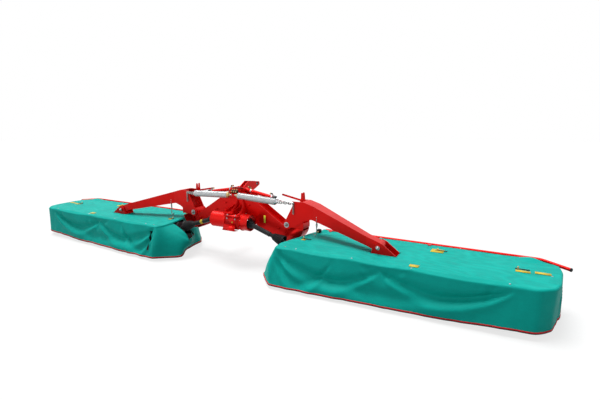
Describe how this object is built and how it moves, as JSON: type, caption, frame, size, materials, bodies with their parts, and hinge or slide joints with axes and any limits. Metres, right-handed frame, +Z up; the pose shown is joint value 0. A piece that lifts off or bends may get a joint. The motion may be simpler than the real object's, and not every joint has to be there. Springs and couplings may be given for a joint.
{
  "type": "butterfly disc mower",
  "caption": "Rear-mounted mower with a folding disc cutting unit under a canvas cover on each side of a V-shaped headstock.",
  "frame": {"origin": "on the ground under the middle of the machine, at the middle of its depth", "axes": "+X to the machine's right, +Y forward to the tractor, +Z up"},
  "size_m": [9.2786, 1.48, 1.28],
  "materials": {
    "red_paint": "gloss red paint",
    "canvas": "coated canvas",
    "black_plastic": "matte",
    "zinc": "zinc plated",
    "chrome": "hard chrome",
    "dark_steel": "dark paint",
    "cast_housing": "painted casting"
  },
  "bodies": {
    "root": {"headstock": "red_paint", "main_gearbox": "red_paint", "drum_guards": "red_paint", "gearbox_shield": "red_paint"},
    "spring_right": {"relief_spring_right": "zinc", "relief_chain_right": "zinc"},
    "arm_right": {"arm_right": "red_paint", "hinge_pin_right": "zinc", "arm_chain_right": "zinc"},
    "barrel_right": {"lift_barrel_right": "red_paint"},
    "rod_right": {"lift_rod_right": "chrome"},
    "shaft_outer_right": {"drive_outer_right": "black_plastic"},
    "shaft_inner_right": {"drive_inner_right": "black_plastic"},
    "unit_right": {"canopy_right": "canvas", "unit_frame_right": "red_paint", "front_guard_right": "red_paint", "unit_gearbox_right": "cast_housing", "cutterbar_right": "dark_steel"},
    "disc_1_right": {"disc_1_right": "dark_steel"},
    "disc_2_right": {"disc_2_right": "dark_steel"},
    "disc_3_right": {"disc_3_right": "dark_steel"},
    "disc_4_right": {"disc_4_right": "dark_steel"},
    "disc_5_right": {"disc_5_right": "dark_steel"},
    "disc_6_right": {"disc_6_right": "dark_steel"},
    "disc_7_right": {"disc_7_right": "dark_steel"},
    "disc_8_right": {"disc_8_right": "dark_steel"},
    "spring_left": {"relief_spring_left": "zinc", "relief_chain_left": "zinc"},
    "arm_left": {"arm_left": "red_paint", "hinge_pin_left": "zinc", "arm_chain_left": "zinc"},
    "barrel_left": {"lift_barrel_left": "red_paint"},
    "rod_left": {"lift_rod_left": "chrome"},
    "shaft_outer_left": {"drive_outer_left": "black_plastic"},
    "shaft_inner_left": {"drive_inner_left": "black_plastic"},
    "unit_left": {"canopy_left": "canvas", "unit_frame_left": "red_paint", "front_guard_left": "red_paint", "unit_gearbox_left": "cast_housing", "cutterbar_left": "dark_steel"},
    "disc_1_left": {"disc_1_left": "dark_steel"},
    "disc_2_left": {"disc_2_left": "dark_steel"},
    "disc_3_left": {"disc_3_left": "dark_steel"},
    "disc_4_left": {"disc_4_left": "dark_steel"},
    "disc_5_left": {"disc_5_left": "dark_steel"},
    "disc_6_left": {"disc_6_left": "dark_steel"},
    "disc_7_left": {"disc_7_left": "dark_steel"},
    "disc_8_left": {"disc_8_left": "dark_steel"}
  },
  "joints": [
    {"name": "arm_fold_right", "type": "hinge", "parent": "root", "child": "arm_right", "pos_m": [0.951, 0.205, 0.698], "axis": [0, -1, 0], "range_deg": [-8, 90]},
    {"name": "unit_roll_right", "type": "hinge", "parent": "arm_right", "child": "unit_right", "pos_m": [2.491, -0.116, 0.642], "axis": [0, 1, 0], "range_deg": [-5, 1]},
    {"name": "spring_droop_right", "type": "hinge", "parent": "root", "child": "spring_right", "pos_m": [0.04, -0.004, 1.09], "axis": [0, -1, 0], "range_deg": [-19.5, 2.19]},
    {"name": "lift_tilt_right", "type": "hinge", "parent": "root", "child": "barrel_right", "pos_m": [0.088, 0.205, 1.166], "axis": [0, -1, 0], "range_deg": [-23.43, 2.54]},
    {"name": "lift_stroke_right", "type": "slide", "parent": "barrel_right", "child": "rod_right", "axis": [0.9857, 0, -0.1683], "range_m": [-0.322, 0.0304]},
    {"name": "shaft_tilt_right", "type": "hinge", "parent": "root", "child": "shaft_outer_right", "pos_m": [0.3, -0.08, 0.7], "axis": [0, -1, 0], "range_deg": [-2.42, 22.16]},
    {"name": "shaft_reach_right", "type": "slide", "parent": "shaft_outer_right", "child": "shaft_inner_right", "axis": [0.9513, 0, -0.3082], "range_m": [-0.014, 0.1365]},
    {"name": "disc_spin_1_right", "type": "hinge", "parent": "unit_right", "child": "disc_1_right", "pos_m": [1.405, 0.11, 0.12], "axis": [0, 0, 1], "continuous": true},
    {"name": "disc_spin_2_right", "type": "hinge", "parent": "unit_right", "child": "disc_2_right", "pos_m": [1.792, 0.11, 0.12], "axis": [0, 0, 1], "continuous": true},
    {"name": "disc_spin_3_right", "type": "hinge", "parent": "unit_right", "child": "disc_3_right", "pos_m": [2.179, 0.11, 0.12], "axis": [0, 0, 1], "continuous": true},
    {"name": "disc_spin_4_right", "type": "hinge", "parent": "unit_right", "child": "disc_4_right", "pos_m": [2.566, 0.11, 0.12], "axis": [0, 0, 1], "continuous": true},
    {"name": "disc_spin_5_right", "type": "hinge", "parent": "unit_right", "child": "disc_5_right", "pos_m": [2.953, 0.11, 0.12], "axis": [0, 0, 1], "continuous": true},
    {"name": "disc_spin_6_right", "type": "hinge", "parent": "unit_right", "child": "disc_6_right", "pos_m": [3.34, 0.11, 0.12], "axis": [0, 0, 1], "continuous": true},
    {"name": "disc_spin_7_right", "type": "hinge", "parent": "unit_right", "child": "disc_7_right", "pos_m": [3.727, 0.11, 0.12], "axis": [0, 0, 1], "continuous": true},
    {"name": "disc_spin_8_right", "type": "hinge", "parent": "unit_right", "child": "disc_8_right", "pos_m": [4.114, 0.11, 0.12], "axis": [0, 0, 1], "continuous": true},
    {"name": "arm_fold_left", "type": "hinge", "parent": "root", "child": "arm_left", "pos_m": [-0.951, 0.205, 0.698], "axis": [0, 1, 0], "range_deg": [-8, 90]},
    {"name": "unit_roll_left", "type": "hinge", "parent": "arm_left", "child": "unit_left", "pos_m": [-2.491, -0.116, 0.642], "axis": [0, -1, 0], "range_deg": [-5, 1]},
    {"name": "spring_droop_left", "type": "hinge", "parent": "root", "child": "spring_left", "pos_m": [-0.04, -0.004, 1.09], "axis": [0, 1, 0], "range_deg": [-19.5, 2.19]},
    {"name": "lift_tilt_left", "type": "hinge", "parent": "root", "child": "barrel_left", "pos_m": [-0.088, 0.205, 1.166], "axis": [0, 1, 0], "range_deg": [-23.43, 2.54]},
    {"name": "lift_stroke_left", "type": "slide", "parent": "barrel_left", "child": "rod_left", "axis": [-0.9857, 0, -0.1683], "range_m": [-0.322, 0.0304]},
    {"name": "shaft_tilt_left", "type": "hinge", "parent": "root", "child": "shaft_outer_left", "pos_m": [-0.3, -0.08, 0.7], "axis": [0, 1, 0], "range_deg": [-2.42, 22.16]},
    {"name": "shaft_reach_left", "type": "slide", "parent": "shaft_outer_left", "child": "shaft_inner_left", "axis": [-0.9513, 0, -0.3082], "range_m": [-0.014, 0.1365]},
    {"name": "disc_spin_1_left", "type": "hinge", "parent": "unit_left", "child": "disc_1_left", "pos_m": [-1.405, 0.11, 0.12], "axis": [0, 0, 1], "continuous": true},
    {"name": "disc_spin_2_left", "type": "hinge", "parent": "unit_left", "child": "disc_2_left", "pos_m": [-1.792, 0.11, 0.12], "axis": [0, 0, 1], "continuous": true},
    {"name": "disc_spin_3_left", "type": "hinge", "parent": "unit_left", "child": "disc_3_left", "pos_m": [-2.179, 0.11, 0.12], "axis": [0, 0, 1], "continuous": true},
    {"name": "disc_spin_4_left", "type": "hinge", "parent": "unit_left", "child": "disc_4_left", "pos_m": [-2.566, 0.11, 0.12], "axis": [0, 0, 1], "continuous": true},
    {"name": "disc_spin_5_left", "type": "hinge", "parent": "unit_left", "child": "disc_5_left", "pos_m": [-2.953, 0.11, 0.12], "axis": [0, 0, 1], "continuous": true},
    {"name": "disc_spin_6_left", "type": "hinge", "parent": "unit_left", "child": "disc_6_left", "pos_m": [-3.34, 0.11, 0.12], "axis": [0, 0, 1], "continuous": true},
    {"name": "disc_spin_7_left", "type": "hinge", "parent": "unit_left", "child": "disc_7_left", "pos_m": [-3.727, 0.11, 0.12], "axis": [0, 0, 1], "continuous": true},
    {"name": "disc_spin_8_left", "type": "hinge", "parent": "unit_left", "child": "disc_8_left", "pos_m": [-4.114, 0.11, 0.12], "axis": [0, 0, 1], "continuous": true}
  ],
  "couplings": [
    {"joint": "spring_droop_right", "follows": "arm_fold_right", "ratio": -0.21111},
    {"joint": "lift_tilt_right", "follows": "arm_fold_right", "ratio": -0.25472},
    {"joint": "lift_stroke_right", "follows": "arm_fold_right", "m_per_rad": -0.20374},
    {"joint": "shaft_tilt_right", "follows": "arm_fold_right", "ratio": 0.24066},
    {"joint": "shaft_reach_right", "follows": "arm_fold_right", "m_per_rad": 0.085639},
    {"joint": "disc_spin_2_right", "follows": "disc_spin_1_right", "ratio": -1},
    {"joint": "disc_spin_3_right", "follows": "disc_spin_1_right", "ratio": 1},
    {"joint": "disc_spin_4_right", "follows": "disc_spin_1_right", "ratio": -1},
    {"joint": "disc_spin_5_right", "follows": "disc_spin_1_right", "ratio": 1},
    {"joint": "disc_spin_6_right", "follows": "disc_spin_1_right", "ratio": -1},
    {"joint": "disc_spin_7_right", "follows": "disc_spin_1_right", "ratio": 1},
    {"joint": "disc_spin_8_right", "follows": "disc_spin_1_right", "ratio": -1},
    {"joint": "spring_droop_left", "follows": "arm_fold_left", "ratio": -0.21111},
    {"joint": "lift_tilt_left", "follows": "arm_fold_left", "ratio": -0.25472},
    {"joint": "lift_stroke_left", "follows": "arm_fold_left", "m_per_rad": -0.20374},
    {"joint": "shaft_tilt_left", "follows": "arm_fold_left", "ratio": 0.24066},
    {"joint": "shaft_reach_left", "follows": "arm_fold_left", "m_per_rad": 0.085639},
    {"joint": "disc_spin_2_left", "follows": "disc_spin_1_left", "ratio": -1},
    {"joint": "disc_spin_3_left", "follows": "disc_spin_1_left", "ratio": 1},
    {"joint": "disc_spin_4_left", "follows": "disc_spin_1_left", "ratio": -1},
    {"joint": "disc_spin_5_left", "follows": "disc_spin_1_left", "ratio": 1},
    {"joint": "disc_spin_6_left", "follows": "disc_spin_1_left", "ratio": -1},
    {"joint": "disc_spin_7_left", "follows": "disc_spin_1_left", "ratio": 1},
    {"joint": "disc_spin_8_left", "follows": "disc_spin_1_left", "ratio": -1}
  ]
}
